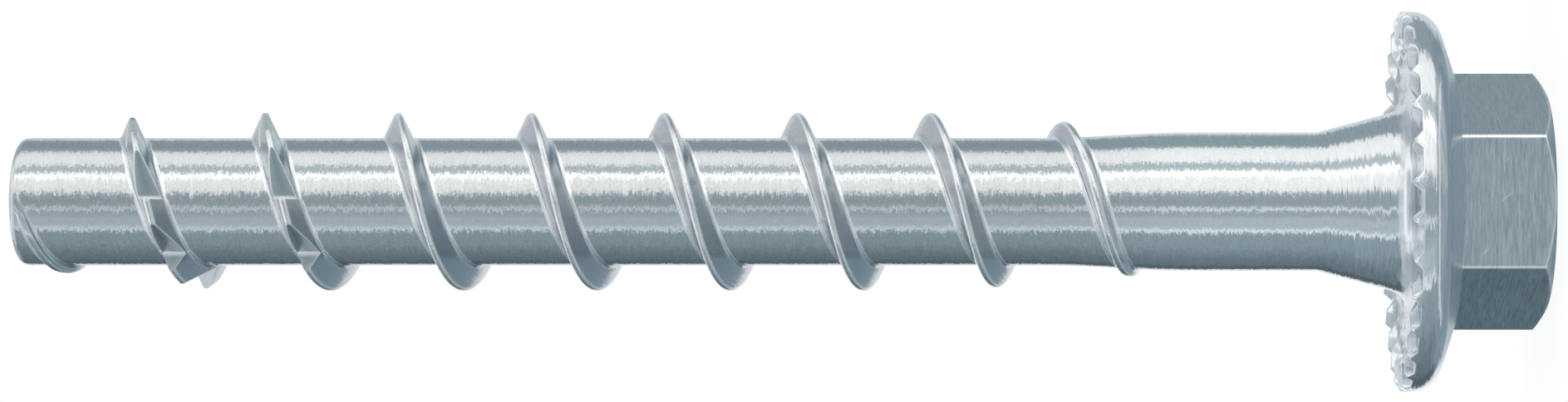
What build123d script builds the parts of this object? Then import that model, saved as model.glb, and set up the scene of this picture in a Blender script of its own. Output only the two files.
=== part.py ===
from build123d import *
from math import atan2, cos, floor, pi, radians, sin, sqrt, tan
import os

# Concrete screw, forged and rolled in one piece of zinc-plated steel.
# Millimetres and degrees. The axis is Z, the head's end face is at Z = 0 and the tip points up.
# Angles run anticlockwise seen from the tip. Turns of the thread are counted from the tip down.

# Lengths along the axis
length_under_head = 80.0
hexagon_height = 5.4
flange_thickness = 3.1
neck_length = 5.2
shank_length = 7.5
swell_length = 8.5

# Hexagon
across_flats = 13.0
hexagon_chamfer_circle = 12.8
hexagon_chamfer_angle = 30.0

# Flange
flange_diameter = 22.1
flange_edge_height = 1.4
flange_rim_radius = 1.55
flange_foot_land = 0.05

# Ribs under the flange
rib_count = 30
rib_height = 0.5
rib_base_width = 1.05
rib_crest_width = 0.2
rib_inner_radius = 8.55
rib_ramp_length = 1.05
rib_edge_break = 0.2
rib_first_angle = -83.5

# Neck, plain shank, threaded core and tip
shank_diameter = 8.06
neck_angle = 15.0
neck_root_radius = 1.37
core_diameter = 7.42
tip_break_radial = 0.25
tip_break_axial = 0.45
rounding_steps = 4

# Thread: a single right-hand start, which grows out of the tip and runs out on the swell.
# It has whole turns and the end turn, so that it ends at one angle at every length.
thread_diameter = 10.36
thread_pitch = 7.75
thread_start_angle = -67.0
thread_below_tip = 1.25
thread_above_shank = 0.8
thread_end_turn = 0.6
lead_in_length = 7.9
run_out_length = 13.4
crest_width = 0.29
root_width = 1.5
thread_embedding = 0.3
end_cutter_margin = 0.5

# Cutting teeth on the first turns of the thread
teeth_per_turn = 7
tooth_count = 12
first_tooth_turn = 0.63
tooth_floor_radius = 3.92
tooth_facet_angle = 35.0
tooth_cutter_length = 3.4
tooth_cutter_margin = 1.0
tooth_cutter_reach = 1.25

# Places that follow from the sizes above
corner_radius = across_flats / sqrt(3)
foot_radius = corner_radius + flange_foot_land
flange_radius = flange_diameter / 2
shank_radius = shank_diameter / 2
core_radius = core_diameter / 2
crest_radius = thread_diameter / 2
neck_base_radius = shank_radius + neck_length * tan(radians(neck_angle))
bearing_z = hexagon_height + flange_thickness
valley_z = bearing_z - rib_height
inside_flange_z = hexagon_height + flange_thickness / 2
shank_start_z = valley_z + neck_length
shank_end_z = shank_start_z + shank_length
core_start_z = shank_end_z + swell_length
tip_z = bearing_z + length_under_head
thread_top_z = tip_z - thread_below_tip
thread_room = (tip_z - shank_end_z - thread_above_shank) / thread_pitch
thread_turns = floor(thread_room - thread_end_turn) + thread_end_turn
thread_bottom_z = tip_z - thread_pitch * thread_turns


def make_hexagon():
    """Hexagon that runs up into the flange, with its end face chamfered by a cone."""
    chamfer_radius = hexagon_chamfer_circle / 2
    outer_radius = 1.2 * corner_radius
    rise = (outer_radius - chamfer_radius) * tan(radians(hexagon_chamfer_angle))
    envelope = Polyline(
        (0, 0),
        (chamfer_radius, 0),
        (outer_radius, rise),
        (outer_radius, inside_flange_z),
        (0, inside_flange_z),
        close=True,
    )
    prism = extrude(RegularPolygon(corner_radius, 6), inside_flange_z)
    return prism & revolve(Plane.XZ * make_face(envelope), Axis.Z)


def arc_points(middle, radius, first, last):
    """Points along an arc about its middle, from one angle to another."""
    angles = [first + (last - first) * i / rounding_steps for i in range(rounding_steps + 1)]
    return [(middle[0] + radius * cos(angle), middle[1] + radius * sin(angle)) for angle in angles]


def rim_points():
    """Rounded rim, from the flange's cone to its upright edge."""
    rim_z = valley_z - flange_edge_height
    cone_angle = atan2(rim_z - hexagon_height, flange_radius - foot_radius)
    arc = pi / 2 - cone_angle
    middle = (flange_radius - flange_rim_radius, rim_z + flange_rim_radius * tan(arc / 2))
    return arc_points(middle, flange_rim_radius, -arc, 0)


def neck_root_points():
    """Hollow rounding from the flange's underside up into the neck's cone."""
    arc = pi / 2 - radians(neck_angle)
    middle_radius = neck_base_radius + neck_root_radius * tan(arc / 2)
    middle = (middle_radius, valley_z + neck_root_radius)
    return arc_points(middle, neck_root_radius, -pi / 2, -pi / 2 - arc)


def make_turned_body():
    """Flange, neck, shank, swell, core and tip, as one outline turned about the axis."""
    outline = Polyline(
        (0, hexagon_height),
        (foot_radius, hexagon_height),
        *rim_points(),
        (flange_radius, valley_z),
        *neck_root_points(),
        (shank_radius, shank_start_z),
        (shank_radius, shank_end_z),
        (core_radius, core_start_z),
        (core_radius, tip_z - tip_break_axial),
        (core_radius - tip_break_radial, tip_z),
        (0, tip_z),
        close=True,
    )
    return revolve(Plane.XZ * make_face(outline), Axis.Z)


def make_rib_envelope():
    """Ring that trims the ribs: a ramp inside, a flat crest and a broken outer edge."""
    outline = Polyline(
        (rib_inner_radius, inside_flange_z),
        (rib_inner_radius, valley_z),
        (rib_inner_radius + rib_ramp_length, bearing_z),
        (flange_radius - rib_edge_break, bearing_z),
        (flange_radius, bearing_z - rib_edge_break),
        (flange_radius, inside_flange_z),
        close=True,
    )
    return revolve(Plane.XZ * make_face(outline), Axis.Z)


def make_ribs():
    """Radial ribs with sloping flanks, which bite into the fixture and stop the head turning."""
    depth = rib_height / 2
    slope = (rib_base_width - rib_crest_width) / 2 / rib_height
    half_crest = rib_crest_width / 2
    half_root = half_crest + (rib_height + depth) * slope
    section = Polyline(
        (-half_crest, bearing_z),
        (half_crest, bearing_z),
        (half_root, valley_z - depth),
        (-half_root, valley_z - depth),
        close=True,
    )
    bar = extrude(Plane.YZ * make_face(section), flange_radius * 1.1)
    bars = [Rot(0, 0, rib_first_angle + i * 360 / rib_count) * bar for i in range(rib_count)]
    return Part() + [make_rib_envelope() & one for one in bars]


def make_ridge():
    """Ridge of the full section, swept along its helix from above the shank up to the tip."""
    half_crest = crest_width / 2
    slope = (root_width / 2 - half_crest) / (crest_radius - core_radius)
    half_root = root_width / 2 + thread_embedding * slope
    section = Polyline(
        (core_radius - thread_embedding, half_root),
        (crest_radius, half_crest),
        (crest_radius, -half_crest),
        (core_radius - thread_embedding, -half_root),
        close=True,
    )
    path = Helix(thread_pitch, thread_top_z - thread_bottom_z, core_radius)
    ridge = sweep(Plane.XZ * make_face(section), path, is_frenet=True)
    bottom_angle = thread_start_angle - 360 * thread_turns
    return Pos(0, 0, thread_bottom_z) * Rot(0, 0, bottom_angle) * ridge


def make_end_cutters():
    """Rings that trim the ridge's ends, so that it grows from the tip and sinks into the swell."""
    outside = crest_radius + end_cutter_margin
    growth = lead_in_length / (crest_radius - core_radius)
    fall = run_out_length / (crest_radius - shank_radius)
    lead_in = Polyline(
        (core_radius, tip_z),
        (outside, tip_z - growth * (outside - core_radius)),
        (outside, tip_z),
        close=True,
    )
    run_out = Polyline(
        (shank_radius, shank_end_z),
        (outside, shank_end_z + fall * (outside - shank_radius)),
        (outside, shank_end_z),
        close=True,
    )
    return [revolve(Plane.XZ * make_face(one), Axis.Z) for one in (lead_in, run_out)]


def make_tooth_cutter(turn):
    """Wedge that leaves a radial cutting wall and a flat facet rising back to the crest."""
    facet = radians(tooth_facet_angle)
    run = crest_radius * sin(facet)
    rise = crest_radius * cos(facet) - tooth_floor_radius
    wedge = Polyline(
        (tooth_floor_radius, 0),
        (tooth_floor_radius + tooth_cutter_reach * rise, tooth_cutter_reach * run),
        (crest_radius + tooth_cutter_margin, tooth_cutter_reach * run),
        (crest_radius + tooth_cutter_margin, 0),
        close=True,
    )
    angle = thread_start_angle - 360 * turn
    middle_turn = turn - tooth_facet_angle / 2 / 360
    middle_z = tip_z - thread_pitch * middle_turn
    placed = Pos(0, 0, middle_z) * Rot(0, 0, angle) * make_face(wedge)
    return extrude(placed, tooth_cutter_length / 2, both=True)


def make_thread():
    """Thread of the screw: the ridge with trimmed ends and the cutting teeth notched into it."""
    tooth_turns = [first_tooth_turn + i / teeth_per_turn for i in range(tooth_count)]
    tooth_cutters = [make_tooth_cutter(turn) for turn in tooth_turns]
    return make_ridge() - make_end_cutters() - tooth_cutters


concrete_screw = make_hexagon() + make_turned_body() + make_ribs() + make_thread()

os.makedirs("parts", exist_ok=True)
export_step(concrete_screw, "parts/concrete_screw.step")
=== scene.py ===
import bpy
from math import cos, pi, radians, sin, sqrt, tan
from mathutils import Matrix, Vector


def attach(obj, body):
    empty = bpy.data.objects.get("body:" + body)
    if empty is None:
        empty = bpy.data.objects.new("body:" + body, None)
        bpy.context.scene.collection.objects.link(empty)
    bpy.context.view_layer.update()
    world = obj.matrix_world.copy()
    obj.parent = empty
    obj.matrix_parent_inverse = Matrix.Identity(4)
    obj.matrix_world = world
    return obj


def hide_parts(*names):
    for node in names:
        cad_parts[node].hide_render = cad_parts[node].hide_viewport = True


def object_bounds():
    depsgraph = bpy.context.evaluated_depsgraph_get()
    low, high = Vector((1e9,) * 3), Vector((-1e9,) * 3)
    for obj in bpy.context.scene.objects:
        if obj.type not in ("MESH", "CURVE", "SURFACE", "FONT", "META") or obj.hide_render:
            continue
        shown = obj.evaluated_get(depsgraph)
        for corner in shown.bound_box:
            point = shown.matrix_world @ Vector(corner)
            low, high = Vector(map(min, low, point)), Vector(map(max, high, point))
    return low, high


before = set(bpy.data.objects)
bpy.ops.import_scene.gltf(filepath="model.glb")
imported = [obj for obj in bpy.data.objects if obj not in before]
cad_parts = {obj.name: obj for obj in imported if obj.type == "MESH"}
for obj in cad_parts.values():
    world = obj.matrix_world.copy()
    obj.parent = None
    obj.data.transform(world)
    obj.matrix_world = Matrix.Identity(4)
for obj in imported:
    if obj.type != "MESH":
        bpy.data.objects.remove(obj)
cad_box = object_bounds()

# Hexagon head: upset from the steel wire in a die, 13 mm across flats, with a chamfered end face and
# corners that the die leaves slightly round. A small fillet joins it to the flange. The screw stands on
# its end face, at height 0. All sizes are in millimetres.
across_flats = 13.0
hexagon_height = 5.4
chamfer_radius = 6.4
chamfer_slope = tan(radians(30))
chamfer_lip = 0.01
chamfer_lip_height = 0.012
end_edge = 0.05
foot_fillet = 0.1
corner_rounding = 0.25
corner_half_angle = radians(0.95)
corner_columns = 2
# Painted highlight: the strength of the light glint painted on the hexagon's rounded corners and edges, and
# where on the foot fillet it starts.
corner_glint = 0.85
edge_glint = 0.6
foot_glint_from = 0.7

head_rows = []


def head_row(
    radius, height, hexagon=0, edge=0, foot_radius=0, foot_height=0, rib=0, corners=0, ribs=0, shine=0,
):
    """One row of the head's surface: where it lies, and how much of each feature it takes."""
    head_rows.append({
        "radius": radius, "height": height, "hexagon": hexagon, "edge": edge, "foot_radius": foot_radius,
        "foot_height": foot_height, "rib": rib, "corners": corners, "ribs": ribs, "shine": shine,
    })


def rounding(along):
    """How far a point of a rounding lies from the sharp corner, towards its start and towards its end."""
    return (1 - along) ** 2, along ** 2


for radius in (0.0, 2.5, 5.0, chamfer_radius - 0.1, chamfer_radius - 0.03):
    head_row(radius, 0, corners=1)
head_row(chamfer_radius + chamfer_lip, chamfer_lip_height, corners=1)
for along in (0, 0.5, 1):
    to_start, to_end = rounding(along)
    inward = -end_edge * to_start
    rise = inward * chamfer_slope + end_edge * to_end
    head_row(inward, rise, hexagon=1, edge=1, corners=1, shine=edge_glint)
for height, edge in (
    (end_edge + 0.12, 0.9), (1.0, 0.4), (2.2, 0), (3.8, 0), (hexagon_height - foot_fillet - 0.1, 0),
):
    head_row(0, height, hexagon=1, edge=edge, corners=1)
for along in (0, 0.25, 0.5, 0.75, 1):
    to_start, to_end = rounding(along)
    head_row(
        0, hexagon_height, hexagon=1, corners=1, foot_radius=to_end, foot_height=-to_start,
        shine=1 if along > foot_glint_from else 0,
    )

# Flange: forged in one with the hexagon. A 19 degree cone spreads from the hexagon's corners to a rounded
# rim, and the rim's reach is read from the solid. The columns, gathered at the corners, spread out evenly
# on the cone.
mm = 0.001
flange_radius = cad_box[1][0] / mm
valley_height = 8.0
corner_land = 0.05
flange_land_radius = across_flats / sqrt(3) + corner_land
land_inset = 0.03
land_gather = 0.9
cone_angle = radians(19)
cone_lead = 0.05
cone_gather = 0.85
rim_rounding = 1.55
rim_steps = 12
rim_corner_height = hexagon_height + (flange_radius - flange_land_radius) * tan(cone_angle)
rim_leg = rim_rounding * tan((pi / 2 - cone_angle) / 2)
rim_centre_radius = flange_radius - rim_rounding
rim_centre_height = rim_corner_height + rim_leg
cone_end_radius = flange_radius - rim_leg * cos(cone_angle)

head_row(flange_land_radius - land_inset, hexagon_height, corners=land_gather)
head_row(flange_land_radius + cone_lead, hexagon_height + cone_lead * tan(cone_angle), corners=cone_gather)
for share in (0.25, 0.5, 0.75, 0.97):
    radius = flange_land_radius + (cone_end_radius - flange_land_radius) * share
    height = hexagon_height + (radius - flange_land_radius) * tan(cone_angle)
    head_row(radius, height, corners=cone_gather * (1 - share))
for step in range(rim_steps + 1):
    share = step / rim_steps
    turn = -(pi / 2 - cone_angle) * (1 - share)
    head_row(
        rim_centre_radius + rim_rounding * cos(turn), rim_centre_height + rim_rounding * sin(turn),
        ribs=share ** 2,
    )

# Ribs: thirty narrow radial ridges, struck into the underside of the flange, which bite into the fixture
# and keep the head from turning back. Each has a flat crest with rounded edges, a broken outer end and a
# ramp at its inner end.
columns_of_head = 420
rib_count = 30
rib_columns = columns_of_head // rib_count
rib_first_angle = radians(0.5)
rib_height = 0.5
rib_base_width = 1.05
rib_crest_width = 0.2
rib_crest_inner = 9.62
rib_foot_inner = 8.57
rib_foot_step = 0.04
rib_ramp_top = 0.98
rib_rounding = 0.06
rib_edge_break = 0.2
rib_end_step = 0.03
# Painted highlight: the light glint painted on the ribs' broken outer ends and crest edges, on rows that
# stand high enough on a rib.
rib_end_glint = 0.2
rib_edge_glint = 0.4
rib_glint_from = 0.25
rim_edge = 0.04

# Rows round the rim's edge, with a light glint painted on its rounding.
for inset, drop, rib, shine in (
    (0, 2 * rim_edge, 0.45, 0),
    (0, rim_edge, 0.6, edge_glint),
    (rim_edge / 4, rim_edge / 4, 0.66, edge_glint),
    (rim_edge, 0, 0.7, edge_glint),
):
    head_row(flange_radius - inset, valley_height - drop, rib=rib, ribs=1, shine=shine)
crest_outer = flange_radius - rib_edge_break
for step, rib in ((rib_end_step, 0.9), (-rib_end_step, 1)):
    head_row(crest_outer + step, valley_height, rib=rib, ribs=1, shine=rib_end_glint)
for share in (0.3, 0.65, 0.96):
    head_row(crest_outer + (rib_crest_inner - crest_outer) * share, valley_height, rib=1, ribs=1)
for share in (0.04, 0.35, 0.65, 0.96):
    radius = rib_crest_inner + (rib_foot_inner - rib_crest_inner) * share
    head_row(radius, valley_height, rib=rib_ramp_top * (1 - share), ribs=1)
head_row(rib_foot_inner - rib_foot_step, valley_height, ribs=1)

half_crest = rib_crest_width / 2
half_base = rib_base_width / 2
rib_slope = (half_base - half_crest) / rib_height
flank_drop = rib_rounding / sqrt(1 + rib_slope ** 2)
edge_out = rib_rounding * 0.1
edge_drop = rib_rounding * 0.35
rib_points = (
    (0, 1),
    (half_crest - rib_rounding, 1),
    (half_crest + edge_out, 1 - edge_drop / rib_height),
    (half_crest + flank_drop * rib_slope, 1 - flank_drop / rib_height),
    (half_base - flank_drop * rib_slope, flank_drop / rib_height),
    (half_base + edge_out, flank_drop / rib_height * 0.25),
    (half_base + rib_rounding, 0),
    (rib_base_width, 0),
)
# Each point across a rib, with the light glint painted on its crest edges.
rib_rows = [
    {"offset": offset, "height": share, "shine": rib_edge_glint if i in (1, 2, 3) else 0}
    for i, (offset, share) in enumerate(rib_points)
]

# Neck and plain shank: a 15 degree cone, drawn down from the head to the 8 mm shank. A hollow rounding
# leads into it under the flange, and a small one leads from it into the shank.
shank_radius = 4.03
neck_angle = radians(15)
neck_length = 5.2
neck_root = 1.05
neck_end_bend = 0.06
neck_base_radius = shank_radius + neck_length * tan(neck_angle)
shank_start = valley_height + neck_length
head_surface_end = shank_start + 1.5

for share in (0.3, 0.65):
    radius = rib_foot_inner + (neck_base_radius + neck_root - rib_foot_inner) * share
    head_row(radius, valley_height, ribs=1 - share)
for along in (0, 0.17, 0.33, 0.5, 0.67, 0.83, 1):
    to_start, to_end = rounding(along)
    head_row(
        neck_base_radius + neck_root * to_start - neck_root * sin(neck_angle) * to_end,
        valley_height + neck_root * cos(neck_angle) * to_end,
    )
for share in (0.33, 0.66, 1):
    height = valley_height + neck_root + (neck_length - neck_root - neck_end_bend) * share
    head_row(shank_radius + (shank_start - height) * tan(neck_angle), height)
for along in (0.33, 0.67, 1):
    to_start, to_end = rounding(along)
    head_row(
        shank_radius + neck_end_bend * tan(neck_angle) * to_start,
        shank_start + neck_end_bend * (to_end - to_start),
    )
head_row(shank_radius, head_surface_end)

# Surface of the head: hexagon, flange, ribs, neck and the start of the shank are one piece of steel, so
# one grid of rows and columns is bent round the axis through all of them. The columns gather at the
# hexagon's corners, and further on at the edges of the ribs.


class Number:
    """A number in a node tree. Arithmetic on it adds Math nodes to the tree."""

    def __init__(self, tree, socket):
        self.tree = tree
        self.socket = socket

    def math(self, operation, *others):
        node = self.tree.nodes.new("ShaderNodeMath")
        node.operation = operation
        for slot, value in zip(node.inputs, (self,) + others):
            set_input(self.tree, slot, value)
        return Number(self.tree, node.outputs[0])

    def __add__(self, other):
        return self.math("ADD", other)

    def __sub__(self, other):
        return self.math("SUBTRACT", other)

    def __mul__(self, other):
        return self.math("MULTIPLY", other)

    def __truediv__(self, other):
        return self.math("DIVIDE", other)

    def __radd__(self, other):
        return self.math("ADD", other)

    def __rmul__(self, other):
        return self.math("MULTIPLY", other)

    def __rsub__(self, other):
        return self.math("MULTIPLY", -1.0) + other

    def __gt__(self, other):
        return self.math("GREATER_THAN", other)

    def __lt__(self, other):
        return self.math("LESS_THAN", other)

    def __mod__(self, other):
        return self.math("FLOORED_MODULO", other)

    def clamp(self, low, high):
        return self.math("MAXIMUM", low).math("MINIMUM", high)

    def cos(self):
        return self.math("COSINE")

    def sin(self):
        return self.math("SINE")

    def floor(self):
        return self.math("FLOOR")

    def size(self):
        return self.math("ABSOLUTE")

    def mix(self, other, share):
        return self + (other - self) * share


def set_input(tree, slot, value):
    """Links a number or socket of the tree to an input, or writes a plain value there."""
    if isinstance(value, Number):
        tree.links.new(value.socket, slot)
    elif isinstance(value, bpy.types.NodeSocket):
        tree.links.new(value, slot)
    else:
        slot.default_value = value


def add_node(tree, kind, inputs=(), **settings):
    """Adds a node with its settings, and fills its inputs by name or number."""
    node = tree.nodes.new(kind)
    for name, value in settings.items():
        setattr(node, name, value)
    for slot, value in dict(inputs).items():
        set_input(tree, node.inputs[slot], value)
    return node


def new_group(name, sizes):
    """A node group that makes geometry, with one named input for each size."""
    tree = bpy.data.node_groups.new(name, "GeometryNodeTree")
    for size, length in sizes.items():
        socket = tree.interface.new_socket(size, in_out="INPUT", socket_type="NodeSocketFloat")
        socket.default_value = length
    tree.interface.new_socket("Geometry", in_out="OUTPUT", socket_type="NodeSocketGeometry")
    source = tree.nodes.new("NodeGroupInput")
    return tree, {size: Number(tree, source.outputs[size]) for size in sizes}


def outline_object(name, rows):
    """A string of points that holds one row of numbers each, for a tree to read by row."""
    mesh = bpy.data.meshes.new(name)
    mesh.from_pydata([(0, 0, 0)] * len(rows), [], [])
    for key in rows[0]:
        attribute = mesh.attributes.new(key, "FLOAT", "POINT")
        attribute.data.foreach_set("value", [float(row[key]) for row in rows])
    outline = bpy.data.objects.new(name, mesh)
    bpy.context.scene.collection.objects.link(outline)
    return outline


def read_row(tree, outline, key, row):
    """The number that an outline holds under a key in a row."""
    geometry = add_node(tree, "GeometryNodeObjectInfo", {"Object": outline}).outputs["Geometry"]
    named = add_node(tree, "GeometryNodeInputNamedAttribute", {"Name": key}, data_type="FLOAT")
    sample = add_node(
        tree,
        "GeometryNodeSampleIndex",
        {"Geometry": geometry, "Value": named.outputs["Attribute"], "Index": row},
        data_type="FLOAT",
        domain="POINT",
    )
    return Number(tree, sample.outputs["Value"])


def grid_of(tree, rows, columns):
    """A grid, with the number of each point's row and column. The last column closes on the first."""
    grid = add_node(
        tree,
        "GeometryNodeMeshGrid",
        {"Vertices X": rows, "Vertices Y": columns + 1, "Size X": rows - 1.0, "Size Y": float(columns)},
    )
    position = tree.nodes.new("GeometryNodeInputPosition")
    split = add_node(tree, "ShaderNodeSeparateXYZ", {"Vector": position.outputs[0]})
    row = (Number(tree, split.outputs["X"]) + rows / 2).floor()
    column = (Number(tree, split.outputs["Y"]) + (columns / 2 + 0.5)).floor()
    return grid.outputs["Mesh"], row, column


def place(tree, mesh, angle, radius, height, marks=()):
    """Stores each point's marks, and moves it to its angle round the axis, its radius and its height."""
    surface = mesh
    for name, mark in dict(marks).items():
        surface = add_node(
            tree,
            "GeometryNodeStoreNamedAttribute",
            {"Geometry": surface, "Name": name, "Value": mark},
            data_type="FLOAT",
            domain="POINT",
        ).outputs["Geometry"]
    point = add_node(
        tree, "ShaderNodeCombineXYZ", {"X": angle.cos() * radius, "Y": angle.sin() * radius, "Z": height}
    )
    moved = add_node(
        tree, "GeometryNodeSetPosition", {"Geometry": surface, "Position": point.outputs["Vector"]}
    )
    end = tree.nodes.new("NodeGroupOutput")
    tree.links.new(moved.outputs["Geometry"], end.inputs["Geometry"])


head_outline = outline_object("head_outline", head_rows)
rib_outline = outline_object("rib_outline", rib_rows)
head, sizes = new_group("Head and neck", {
    "Across flats": across_flats,
    "Corner rounding": corner_rounding,
    "Chamfer radius": chamfer_radius,
    "Land radius": flange_land_radius,
    "Rib height": rib_height,
    "First rib": rib_first_angle,
})
mesh, row, column = grid_of(head, len(head_rows), columns_of_head)
value = {key: read_row(head, head_outline, key, row) for key in head_rows[0]}

# Columns at the hexagon: a few on each corner's arc, the others evenly on the flats.
sector = columns_of_head // 6
from_corner = (column + sector / 2) % sector - sector / 2
steps_away = from_corner.size()
flat_step = (pi / 6 - corner_half_angle) / (sector / 2 - corner_columns)
on_corner = steps_away * (corner_half_angle / corner_columns)
past_corner = (steps_away - corner_columns) * flat_step + corner_half_angle
corner_angle = on_corner.mix(past_corner, steps_away > corner_columns)
sector_middle = ((column + sector / 2) / sector).floor() * (pi / 3)
hexagon_angle = sector_middle + from_corner.math("SIGN") * corner_angle

# Columns at the ribs: each rib's points stand at the same distance from its middle all along it.
from_rib = (column + rib_columns / 2) % rib_columns - rib_columns / 2
rib_step = from_rib.size()
rib_offset = read_row(head, rib_outline, "offset", rib_step)
rib_share = read_row(head, rib_outline, "height", rib_step)
rib_middle = ((column + rib_columns / 2) / rib_columns).floor() * (2 * pi / rib_count) + sizes["First rib"]
turned = (rib_offset / value["radius"].math("MAXIMUM", 1.0)).math("ARCSINE")
halfway = rib_step > (rib_columns / 2 - 0.5)
rib_angle = rib_middle + from_rib.math("SIGN") * turned.mix(pi / rib_count, halfway)

# In the last row the columns meet in pairs, because the shank below has half as many.
even = column * (2 * pi / columns_of_head)
last_row = row > (len(head_rows) - 1.5)
paired = (column / 2).floor() * (4 * pi / columns_of_head)
angle = even.mix(hexagon_angle, value["corners"]).mix(rib_angle, value["ribs"]).mix(paired, last_row)

# The hexagon's radius at an angle: flats, and an arc at each corner that spans 30 degrees to each side.
half_flats = sizes["Across flats"] / 2
in_sector = (angle + pi / 6) % (pi / 3) - pi / 6
flat_radius = half_flats / (pi / 6 - in_sector.size()).cos()
arc_centre = (half_flats - sizes["Corner rounding"]) * (2 / sqrt(3))
across = in_sector.sin() * arc_centre
arc_square = sizes["Corner rounding"] * sizes["Corner rounding"] - across * across
arc_radius = in_sector.cos() * arc_centre + arc_square.math("MAXIMUM", 0.0).math("SQRT")
on_arc = arc_radius * in_sector.size().sin() < sizes["Corner rounding"] * sin(pi / 6)
hexagon_radius = flat_radius.mix(arc_radius, on_arc)
edge_height = (hexagon_radius - sizes["Chamfer radius"]) * chamfer_slope
fillet = (sizes["Land radius"] - corner_land - hexagon_radius).math("MINIMUM", foot_fillet)

radius = value["radius"] + value["hexagon"] * hexagon_radius + value["foot_radius"] * fillet
height = value["height"] + value["edge"] * edge_height + value["foot_height"] * fillet
height = height + value["rib"] * rib_share * sizes["Rib height"]
# Painted highlight: a light glint on the hexagon's corners, the rounded edges and the ribs' crest edges,
# stored as a mark for the colour.
corner_shine = (steps_away < corner_columns - 0.5) * value["hexagon"] * corner_glint
rib_shine = read_row(head, rib_outline, "shine", rib_step) * (value["rib"] > rib_glint_from)
shine = value["shine"].math("MAXIMUM", corner_shine).math("MAXIMUM", rib_shine)
place(head, mesh, angle, radius, height, {"burnished": shine})

# Plain shank below the thread: straight and drawn smooth, from the neck to the end of the thread. Its
# columns turn a little on the way, so that they meet those of the thread.
columns_of_shank = 210
shank_rows = 8
thread_end = 18.9
column_twist = radians(-0.656)

shank, sizes = new_group("Shank", {
    "Radius": shank_radius,
    "Start": head_surface_end,
    "End": thread_end,
    "Twist": column_twist,
})
mesh, row, column = grid_of(shank, shank_rows, columns_of_shank)
share = row / (shank_rows - 1)
angle = column * (2 * pi / columns_of_shank) + sizes["Twist"] * share
height = sizes["Start"].mix(sizes["End"], share)
place(shank, mesh, angle, sizes["Radius"], height)

# Thread: a right-hand ridge rolled onto the core, 7.75 mm from turn to turn. It grows out of the tip in
# one turn. Over its last two it sinks back, while the core swells to the shank. Turns are counted from
# the tip down.
tip_height = cad_box[1][2] / mm
tip_edge_height = 0.45
core_radius = 3.71
core_start = 29.2
shank_end = 20.7
pitch = 7.75
crest_radius = 5.18
thread_height = crest_radius - core_radius
crest_half = 0.145
crest_edge = 0.14
crest_edge_share = 0.2
root_half = 0.75
root_fillet = 0.2
root_fillet_share = 0.6
narrow_foot = 0.25
narrow_foot_height = 0.15
flank_slope = (root_half - crest_half) / thread_height
flank_cosine = 1 / sqrt(1 + flank_slope ** 2)
lead_in_start = 0.0
lead_in_end = 1.02
run_out_start = 7.02
run_out_end = 8.85
run_out_rest = 0.2
turns_past_end = 0.55
first_angle = radians(-67)
flank_from = 0.03
crest_from = 0.97
# Painted highlight: how fast the glint painted on the ridge's edges grows with the ridge's height.
glint_growth = 3

# Cutting teeth: the ridge's first turns are notched when it is rolled, seven notches to the turn. Each
# has a wall that faces the tip's side of the turn, and a flat that climbs back to the crest in 35 degrees.
teeth_per_turn = 7
tooth_count = 12
first_tooth_turn = 0.63
tooth_floor = 3.92
wall_angle = radians(0.07)
# Painted highlight: the light glint painted on the crest at each notch's wall.
wall_glint = 0.8
facet_angle = radians(35)
notch_edge = 0.1
tooth_columns = columns_of_shank // teeth_per_turn
land_columns = 10
tooth_angle = 2 * pi / teeth_per_turn
land_angle = tooth_angle - facet_angle
periods_before = 8
first_turn = first_tooth_turn - periods_before / teeth_per_turn
facet_x = crest_radius * cos(facet_angle) - tooth_floor
facet_y = crest_radius * sin(facet_angle)

thread_rows = []


def thread_row(
    side=1, spread=0, fillet_width=0, fillet_height=0, top=0, edge_height=0, edge_width=0, shine=0,
):
    """One row across the ridge: its side, its share of the plain core, of the fillet and of the top."""
    thread_rows.append({
        "side": side, "spread": spread, "fillet_width": fillet_width, "fillet_height": fillet_height,
        "top": top, "edge_height": edge_height, "edge_width": edge_width, "shine": shine,
    })


# Rows from the middle of the plain core up to the crest: core, fillet, flank and rounded edge, each with
# the strength of the light glint, a painted highlight, on it.
for spread in (1, 0.66, 0.33, 0.03):
    thread_row(spread=spread, fillet_width=1)
for along, shine in ((0, 1), (0.33, 0.35), (0.67, 0), (1, 0)):
    to_start, to_end = rounding(along)
    thread_row(fillet_width=to_start, fillet_height=to_end, shine=shine)
for share, shine in ((0.06, 0), (0.5, 0), (0.94, 0), (1, 0.5)):
    thread_row(fillet_height=1 - share, top=share, edge_height=-share, shine=shine)
for drop, inward, shine in ((0.45, 0.11, 1), (0.11, 0.45, 0.5), (0, 1, 0.2)):
    thread_row(top=1, edge_height=-drop, edge_width=-inward, shine=shine)
lower_half = [dict(upper, side=-1) for upper in reversed(thread_rows)]
thread_row(side=0, top=1)
thread_rows.extend(lower_half)
thread_outline = outline_object("thread_outline", thread_rows)

thread, sizes = new_group("Thread", {
    "Pitch": pitch,
    "Core radius": core_radius,
    "Shank radius": shank_radius,
    "Height": thread_height,
    "Tip": tip_height,
    "Tooth floor": tooth_floor,
})
thread_steps = round(((tip_height - thread_end) / pitch + turns_past_end - first_turn) * columns_of_shank)
mesh, row, step = grid_of(thread, len(thread_rows), thread_steps)
value = {key: read_row(thread, thread_outline, key, row) for key in thread_rows[0]}

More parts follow.
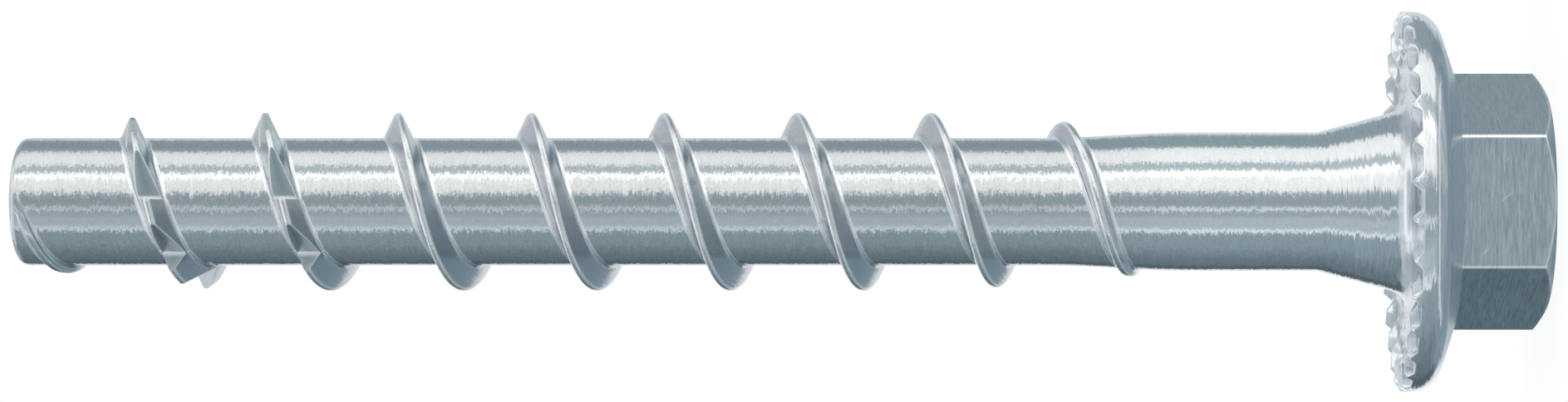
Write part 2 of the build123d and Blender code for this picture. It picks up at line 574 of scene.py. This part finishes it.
# Steps along the ridge: in each tooth some stand on the land and some on the facet, with the wall between.
# Down on the plain core they stay even.
period = ((step - 1) / tooth_columns).floor()
place_in_tooth = step - period * tooth_columns
on_land = wall_angle + (place_in_tooth - 1) * ((land_angle - wall_angle) / (land_columns - 1))
past_land = place_in_tooth - land_columns
on_facet = land_angle + past_land * (facet_angle / (tooth_columns - land_columns))
tooth_place = on_land.mix(on_facet, past_land > 0)
even_place = place_in_tooth * (tooth_angle / tooth_columns)
has_teeth = (period > (periods_before - 1.5)) * (period < (periods_before + tooth_count - 0.5))
has_facet = has_teeth * (period < (periods_before + tooth_count - 1.5))
near_ridge = 1 - value["spread"]
angle_down = even_place.mix(tooth_place, has_teeth * near_ridge)
turn = period * (1 / teeth_per_turn) + angle_down / (2 * pi) + first_turn
turn_height = sizes["Tip"] - turn * sizes["Pitch"]


def core_at(height):
    """Radius under the ridge at a height: the core's, and below it the swell up to the shank's."""
    swell = ((core_start - height) / (core_start - shank_end)).clamp(0.0, 1.0)
    return sizes["Core radius"].mix(sizes["Shank radius"], swell * swell * (3 - 2 * swell))


# Height of the ridge over the core, which the lead-in, the run-out and the teeth cut down.
base = core_at(turn_height)
growing = (turn - lead_in_start) / (lead_in_end - lead_in_start)
falling = (run_out_end - turn) / (run_out_end - run_out_start)
lead_in = growing.clamp(0.0, 1.0) * sizes["Height"]
crest_left = run_out_rest + (1 - run_out_rest) * falling.clamp(0.0, 1.0)
crest_falls = sizes["Core radius"].mix(sizes["Core radius"] + sizes["Height"], crest_left)
run_out = (crest_falls - base) * (falling > 0)
full_top = lead_in.math("MINIMUM", run_out).math("MAXIMUM", 0.0)
scale = full_top / sizes["Height"]
facet_place = (facet_angle + land_angle - tooth_place).clamp(0.0, facet_angle)
facet_radius = (sizes["Tooth floor"] * facet_y) / (facet_place.cos() * facet_y - facet_place.sin() * facet_x)
toothed = has_facet * (past_land > -0.5)
top = full_top.mix(full_top.math("MINIMUM", facet_radius - base), toothed)

# Section of the ridge: how far a row lies out from its middle, and how high over the core.
fillet = (top * root_fillet_share).math("MINIMUM", root_fillet)
edge = (top * crest_edge_share).math("MINIMUM", toothed * (notch_edge - crest_edge) + crest_edge)
low_foot = narrow_foot * (top / narrow_foot_height).math("MINIMUM", 1.0)
foot = (scale * (1 - narrow_foot) + low_foot) * root_half
rise = value["fillet_height"] * fillet * flank_cosine + value["top"] * top + value["edge_height"] * edge
core_half = sizes["Pitch"] / 2 - foot - fillet
out = foot - rise * flank_slope + value["fillet_width"] * fillet
out = out + value["spread"] * core_half + value["edge_width"] * edge
height = (turn_height + value["side"] * out).clamp(thread_end, tip_height - tip_edge_height)
angle = first_angle - turn * (2 * pi)

# Marks for the plating: a light glint painted along the edges, the cut face of a notch, and which flank a
# point is on, by which the flanks are painted lighter and darker as light and shade.
on_crest = value["top"] > crest_from
before_wall = has_facet * (place_in_tooth > tooth_columns - 1.5)
at_wall = (has_teeth * (place_in_tooth < 1.5)).math("MAXIMUM", before_wall) * on_crest * wall_glint
notched = has_facet * (past_land > 0.5) * on_crest * (1 - before_wall)
shine = (value["shine"] * (full_top * glint_growth).clamp(0.0, 1.0)).math("MAXIMUM", at_wall)
on_flank = (value["top"] > flank_from) * (value["top"] < crest_from) * value["side"] * scale
marks = {"burnished": shine, "notched": notched, "rolled": on_flank}
place(thread, mesh, angle, core_at(height) + rise, height, marks)

# Tip: the wire's sheared end, left blunt and flat. The rolling dies have broken its edge, and the thread
# starts right behind it.
tip_break = 0.25
tip_rows = []
for along in (0, 0.2, 0.4, 0.6, 0.8, 1):
    tip_rows.append({
        "radius": core_radius - tip_break * (1 - cos(along * pi / 2)),
        "height": tip_height - tip_edge_height * (1 - sin(along * pi / 2)),
    })
for radius in (core_radius - tip_break - 0.1, 2.2, 1.0, 0.0):
    tip_rows.append({"radius": radius, "height": tip_height})
tip_outline = outline_object("tip_outline", tip_rows)

tip, sizes = new_group("Tip", {"Twist": column_twist})
mesh, row, column = grid_of(tip, len(tip_rows), columns_of_shank)
angle = column * (2 * pi / columns_of_shank) + sizes["Twist"]
place(tip, mesh, angle, read_row(tip, tip_outline, "radius", row), read_row(tip, tip_outline, "height", row))

# Zinc plating: a thin electroplated coat, bright and bluish. Fine drawing lines run round the axis, the
# hexagon and the flange's cone keep the rougher face of their die, and handling has left a few thin
# scratches. The edges carry a painted highlight, a light glint mixed into the colour, and the ridge's
# upper flanks are painted lighter and its lower flanks darker, as painted light and shade.
shank_colour = (0.645, 0.68, 0.715)
hexagon_tint = (0.69, 0.755, 0.78)
notch_tint = (0.56, 0.64, 0.66)
# Painted light and shade: the ridge's upper flank is painted lighter and its lower flank darker, by these
# shares.
painted_flank_light = (0.12, 0.08, 0.06)
drawn_roughness = 0.13
# Roughness where the edge glint is painted and where the scratches run.
glint_and_scratch_roughness = 0.38
flats_bottom = 0.02
flats_top = 5.35
cone_top = 7
cone_mirror_radius = 10.7
cone_mirror_fade = 0.9
fine_lines_start = 13.0
fine_lines_fade = 0.4
core_tone_start = 21
core_tone_fade = 8
fine_share = 0.6
broad_share = 0.2
grain_share = 0.35
line_tilt = 0.3
core_line_tilt = 0.1
line_contrast = 0.5
die_face_contrast = 0.6
core_shade = 0.12
cone_light = 0.22
# Painted highlight: the edge glint is broken into patches by the drawing lines, down to a least share.
glint_patches = 1.6
least_glint = 0.3
scratch_fineness = 9.0
scratch_drawn_out = 0.5
scratch_from = 0.73
scratch_sharpness = 14
scratch_light = 0.4
unrolled_radius = 4.0
least_distance = 0.5

steel = bpy.data.materials.new("zinc_plated_steel")
steel.use_nodes = True
steel_tree = steel.node_tree
shader = steel_tree.nodes["Principled BSDF"]
shader.inputs["Metallic"].default_value = 1.0
object_place = steel_tree.nodes.new("ShaderNodeTexCoord").outputs["Object"]
in_mm = add_node(
    steel_tree, "ShaderNodeVectorMath", {0: object_place, "Scale": 1 / mm}, operation="SCALE"
).outputs["Vector"]
split = add_node(steel_tree, "ShaderNodeSeparateXYZ", {"Vector": in_mm})
x, y, z = (Number(steel_tree, split.outputs[axis]) for axis in "XYZ")
# Marks from the surface: the painted edge glint, the notches' cut faces, and the flank side for the painted
# flank light and shade.
burnished, notched, rolled = (Number(steel_tree, add_node(
    steel_tree, "ShaderNodeAttribute", attribute_name=name, attribute_type="GEOMETRY"
).outputs["Fac"]) for name in ("burnished", "notched", "rolled"))

from_axis = (x * x + y * y).math("SQRT")
on_hexagon = z < flats_top
on_cone = ((cone_mirror_radius - from_axis) / cone_mirror_fade).clamp(0.0, 1.0)
on_cone = on_cone * (z > flats_top) * (z < cone_top)
on_shank = ((z - fine_lines_start) / fine_lines_fade).clamp(0.0, 1.0)
on_core = ((z - core_tone_start) / core_tone_fade).clamp(0.0, 1.0)
ring = from_axis * (1 - on_hexagon * (z > flats_bottom))
unrolled = y.math("ARCTAN2", x) * unrolled_radius


def noise_at(place_x, place_y, place_z, detail, roughness):
    """Noise from 0 to 1 at a place."""
    place_at = add_node(
        steel_tree, "ShaderNodeCombineXYZ", {"X": place_x, "Y": place_y, "Z": place_z}
    ).outputs["Vector"]
    inputs = {"Vector": place_at, "Scale": 1.0, "Detail": detail, "Roughness": roughness}
    return Number(steel_tree, add_node(steel_tree, "ShaderNodeTexNoise", inputs).outputs["Fac"])


def lines_at(scale_round, scale_along, seed):
    """Drawing lines, about zero: noise that is stretched round the axis."""
    return noise_at(x * scale_round + seed, y * scale_round, (z + ring) * scale_along, 2.0, 0.6) - 0.5


def scratches_at(slant, seed):
    """Long thin light marks that cross the surface at a slant."""
    across = z * cos(slant) - unrolled * sin(slant)
    along = z * sin(slant) + unrolled * cos(slant)
    marks = noise_at(across * scratch_fineness, along * scratch_drawn_out, seed, 1.0, 0.5)
    return ((marks - scratch_from) * scratch_sharpness).clamp(0.0, 1.0)


brushed = lines_at(1.0, 11.0, 3.0)
fine = lines_at(5.0, 14.0, 7.0)
broad = lines_at(0.5, 3.0, 11.0)
grain = lines_at(6.0, 6.0, 19.0)
streaks = brushed.mix(fine, on_shank * fine_share) * (1 - broad_share) + broad * broad_share
streaks = streaks + grain * grain_share * on_shank
scratches = scratches_at(radians(38), 2.0).math("MAXIMUM", scratches_at(radians(-62), 9.0))

# The lines tilt the surface a little, sideways round the axis.
tilt = streaks * (line_tilt + core_line_tilt * on_core)
distance = from_axis.math("MAXIMUM", least_distance)
round_axis = add_node(
    steel_tree, "ShaderNodeCombineXYZ", {"X": y / distance * -1 * tilt, "Y": x / distance * tilt, "Z": 0.0}
)
normal = steel_tree.nodes.new("ShaderNodeNewGeometry").outputs["Normal"]
tilted = add_node(
    steel_tree, "ShaderNodeVectorMath", {0: normal, 1: round_axis.outputs["Vector"]}, operation="ADD"
)
unit = add_node(steel_tree, "ShaderNodeVectorMath", {0: tilted.outputs["Vector"]}, operation="NORMALIZE")
set_input(steel_tree, shader.inputs["Normal"], unit.outputs["Vector"])

# The painted edge glint, broken into patches.
burnished = burnished * (1.0 + streaks * glint_patches).clamp(least_glint, 1.0)
roughness = drawn_roughness
for share, extra in (
    (on_core, 0.04), (on_hexagon, 0.24), (on_cone, 0.26), (rolled.size(), 0.05), (notched, 0.15),
):
    roughness = roughness + extra * share
roughness = roughness.mix(glint_and_scratch_roughness, burnished.math("MAXIMUM", scratches))
set_input(steel_tree, shader.inputs["Roughness"], roughness)

brightness = 1 + streaks * (line_contrast + die_face_contrast * on_hexagon)
brightness = brightness * (1 - core_shade * on_core) * (1 + cone_light * on_cone)
# Painted highlight on the edges, and the scratches' own lighter colour: both mix the colour towards white.
glints_and_scratches = burnished.math("MAXIMUM", scratches * scratch_light)
channels = {}
# Per channel: the plating's colour and its tints, the ridge's upper flank painted lighter and its lower
# flank painted darker as light and shade, and the painted edge glint mixed towards white.
for channel, plain, on_head, cut, side in zip(
    ("Red", "Green", "Blue"), shank_colour, hexagon_tint, notch_tint, painted_flank_light
):
    tone = brightness * plain * (1 - on_hexagon * (1 - on_head))
    tone = tone * (1 - notched * (1 - cut)) * (1 + rolled * side)
    channels[channel] = tone.mix(1.0, glints_and_scratches)
colour = add_node(steel_tree, "ShaderNodeCombineColor", channels)
set_input(steel_tree, shader.inputs["Base Color"], colour.outputs["Color"])

# The whole screw: forged and rolled from one piece of steel wire, so it is one closed surface. The four
# stretches are joined, their common edges welded, the sharp edges kept, and the scale set to metres.
weld_distance = 0.0012
smooth_limit = radians(38)

screw_tree, _ = new_group("Concrete screw", {})
joined = screw_tree.nodes.new("GeometryNodeJoinGeometry")
for group in (head, shank, thread, tip):
    stretch = add_node(screw_tree, "GeometryNodeGroup", node_tree=group)
    screw_tree.links.new(stretch.outputs["Geometry"], joined.inputs[0])
welded = add_node(
    screw_tree, "GeometryNodeMergeByDistance", {"Geometry": joined.outputs[0], "Distance": weld_distance}
)
edge_angle = screw_tree.nodes.new("GeometryNodeInputMeshEdgeAngle")
is_smooth = Number(screw_tree, edge_angle.outputs["Unsigned Angle"]) < smooth_limit
faces_smooth = add_node(
    screw_tree, "GeometryNodeSetShadeSmooth", {"Geometry": welded.outputs[0], "Shade Smooth": True}
)
smoothed = add_node(
    screw_tree,
    "GeometryNodeSetShadeSmooth",
    {"Geometry": faces_smooth.outputs[0], "Shade Smooth": is_smooth},
    domain="EDGE",
)
scaled = add_node(
    screw_tree, "GeometryNodeTransform", {"Geometry": smoothed.outputs[0], "Scale": (mm, mm, mm)}
)
realized = add_node(screw_tree, "GeometryNodeRealizeInstances", {"Geometry": scaled.outputs[0]})
coated = add_node(
    screw_tree, "GeometryNodeSetMaterial", {"Geometry": realized.outputs[0], "Material": steel}
)
end = screw_tree.nodes.new("NodeGroupOutput")
screw_tree.links.new(coated.outputs[0], end.inputs[0])

blank = bpy.data.objects.new("blank", bpy.data.meshes.new("blank"))
bpy.context.scene.collection.objects.link(blank)
modifier = blank.modifiers.new("Concrete screw", "NODES")
modifier.node_group = screw_tree
bpy.context.view_layer.update()
evaluated = blank.evaluated_get(bpy.context.evaluated_depsgraph_get())
screw_mesh = bpy.data.meshes.new_from_object(evaluated)
screw_mesh.name = "screw_surface"
screw = bpy.data.objects.new("screw_surface", screw_mesh)
bpy.context.scene.collection.objects.link(screw)
for helper in (blank, head_outline, rib_outline, thread_outline, tip_outline):
    bpy.data.objects.remove(helper)
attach(screw, "root")
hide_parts("concrete_screw")

# Floor: a plain pale sheet under the screw, which keeps its shadow and shows the camera a near white.
# It is hidden from glossy rays, so that the metal shows the studio's white backdrop instead.
sheet_half = 3.0
sheet_colour = (0.85, 0.87, 0.88, 1)
sheet_roughness = 0.9
sheet_glow = 1.06
glow_share = 0.85

floor_mesh = bpy.data.meshes.new("floor")
floor_mesh.from_pydata([
    (-sheet_half, -sheet_half, 0), (sheet_half, -sheet_half, 0),
    (sheet_half, sheet_half, 0), (-sheet_half, sheet_half, 0),
], [], [(0, 1, 2, 3)])
floor = bpy.data.objects.new("floor", floor_mesh)
bpy.context.scene.collection.objects.link(floor)
floor_material = bpy.data.materials.new("floor")
floor_material.use_nodes = True
floor_tree = floor_material.node_tree
sheet = floor_tree.nodes["Principled BSDF"]
sheet.inputs["Base Color"].default_value = sheet_colour
sheet.inputs["Roughness"].default_value = sheet_roughness
sheet.inputs["Specular IOR Level"].default_value = 0.0
glow = add_node(floor_tree, "ShaderNodeEmission", {"Color": (1, 1, 1, 1), "Strength": sheet_glow})
path = floor_tree.nodes.new("ShaderNodeLightPath")
seen = Number(floor_tree, path.outputs["Is Camera Ray"]) * glow_share
mixed = add_node(
    floor_tree, "ShaderNodeMixShader", {"Fac": seen, 1: sheet.outputs[0], 2: glow.outputs[0]}
)
floor_tree.links.new(mixed.outputs[0], floor_tree.nodes["Material Output"].inputs["Surface"])
floor.data.materials.append(floor_material)
floor.visible_glossy = False

# Studio: walls round the screw, by their angle from the camera towards the top of the picture. A bright
# panel with a lamp in it stands on the upper side, blue-grey walls with two slits on the lower side, a
# white backdrop behind, and soft light comes from overhead. The camera itself sees pure white.
white = (1.0, 1.0, 1.0)
pale_wall = (0.78, 0.83, 0.86)
dark_gap = (0.11, 0.15, 0.175)
blue_wall = (0.44, 0.525, 0.56)
low_slit = (1.25, 1.27, 1.27)
middle_slit = (1.15, 1.17, 1.17)
lamp = (2.1, 2.02, 1.96)
panel_frame = (0.64, 0.71, 0.73)
back_from = radians(100)
back_softness = 2
walls_round_screw = [
    (-180, pale_wall),
    (-174, white), (-157, white),
    (-153, dark_gap), (-139, dark_gap),
    (-135, (0.165, 0.215, 0.245)), (-111, (0.21, 0.275, 0.31)), (-95, (0.27, 0.345, 0.38)),
    (-80, (0.34, 0.43, 0.465)), (-54, (0.36, 0.45, 0.485)),
    (-51.3, low_slit), (-48.7, low_slit),
    (-46.5, (0.57, 0.65, 0.685)), (-27, (0.6, 0.675, 0.705)),
    (-24, blue_wall), (-15, blue_wall),
    (-13.3, middle_slit), (-10.7, middle_slit),
    (-9, (0.38, 0.46, 0.495)), (13, (0.44, 0.52, 0.55)),
    (18, (1.27, 1.24, 1.19)), (42, (1.36, 1.32, 1.27)),
    (45, lamp), (51, lamp),
    (54, panel_frame), (67, panel_frame),
    (70, (1.34, 1.32, 1.28)), (99, (1.26, 1.24, 1.2)),
    (105, (0.37, 0.45, 0.49)), (145, (0.37, 0.45, 0.48)),
    (150, pale_wall), (180, pale_wall),
]

world = bpy.data.worlds.new("studio")
bpy.context.scene.world = world
world.use_nodes = True
studio_tree = world.node_tree
direction = studio_tree.nodes.new("ShaderNodeTexCoord").outputs["Generated"]
towards = add_node(studio_tree, "ShaderNodeSeparateXYZ", {"Vector": direction})
x, y, z = (Number(studio_tree, towards.outputs[axis]) for axis in "XYZ")
azimuth = x.math("ARCTAN2", y * -1)
elevation = z.math("ARCSINE")
walls = studio_tree.nodes.new("ShaderNodeValToRGB")
set_input(studio_tree, walls.inputs["Fac"], azimuth / (2 * pi) + 0.5)
stops = walls.color_ramp.elements
for degrees, colour in walls_round_screw[1:-1]:
    stops.new(degrees / 360 + 0.5)
for stop, (degrees, colour) in zip(stops, walls_round_screw):
    stop.position = degrees / 360 + 0.5
    stop.color = (*colour, 1)


def over(degrees, steepness, most=1.0):
    """Share of a panel that starts at an elevation and fills what is over it."""
    return ((elevation - radians(degrees)) * steepness).clamp(0.0, most)


def under(degrees, steepness, most=1.0):
    """Share of a panel that starts at an elevation and fills what is under it."""
    return ((radians(degrees) - elevation) * steepness).clamp(0.0, most)


def mix_colour(share, first, second):
    """Blends two colours by a share from 0 to 1."""
    node = studio_tree.nodes.new("ShaderNodeMix")
    node.data_type = "RGBA"
    for slot, value in zip((0, 6, 7), (share, first, second)):
        set_input(studio_tree, node.inputs[slot], value)
    return node.outputs[2]


back = ((azimuth.size() - back_from) * back_softness).clamp(0.0, 1.0)
front = 1 - back
camera_ray = studio_tree.nodes.new("ShaderNodeLightPath").outputs["Is Camera Ray"]
sky = walls.outputs["Color"]
for share, colour in (
    (over(18, 5) * back, (0.55, 0.605, 0.64)),
    (under(-24, 12) * back, (0.28, 0.37, 0.42)),
    (under(-36.5, 30) * back * over(-41, 30), (0.39, 0.49, 0.54)),
    (over(33, 7, most=0.7) * front, (1.0, 1.02, 1.03)),
    (under(-33, 7, most=0.8) * front, (0.37, 0.45, 0.49)),
    (over(52, 7), (1.3, 1.3, 1.3)),
    (over(66, 7), (0.7, 0.77, 0.8)),
    (under(-45, 14) * over(-53, 14) * front, (1.2, 1.2, 1.2)),
    (camera_ray, white),
):
    sky = mix_colour(share, sky, (*colour, 1))
set_input(studio_tree, studio_tree.nodes["Background"].inputs["Color"], sky)

# Camera: level, a good 23 cm in front of the screw, and turned on its side, so that the standing screw
# lies across the picture with its tip to the left. The shift puts it where the photo has it.
focal_length = 92.53
sensor_width = 36.0
camera_aside = 0.00004
camera_distance = 0.23475
camera_height = 0.02988
frame_shift = -0.1571

camera_data = bpy.data.cameras.new("camera")
camera = bpy.data.objects.new("camera", camera_data)
bpy.context.scene.collection.objects.link(camera)
camera_data.lens = focal_length
camera_data.sensor_width = sensor_width
camera_data.shift_x = frame_shift
camera.matrix_world = Matrix((
    (0, 1, 0, camera_aside),
    (0, 0, -1, -camera_distance),
    (-1, 0, 0, camera_height),
    (0, 0, 0, 1),
))
bpy.context.scene.camera = camera
bpy.context.scene.view_settings.view_transform = "Standard"
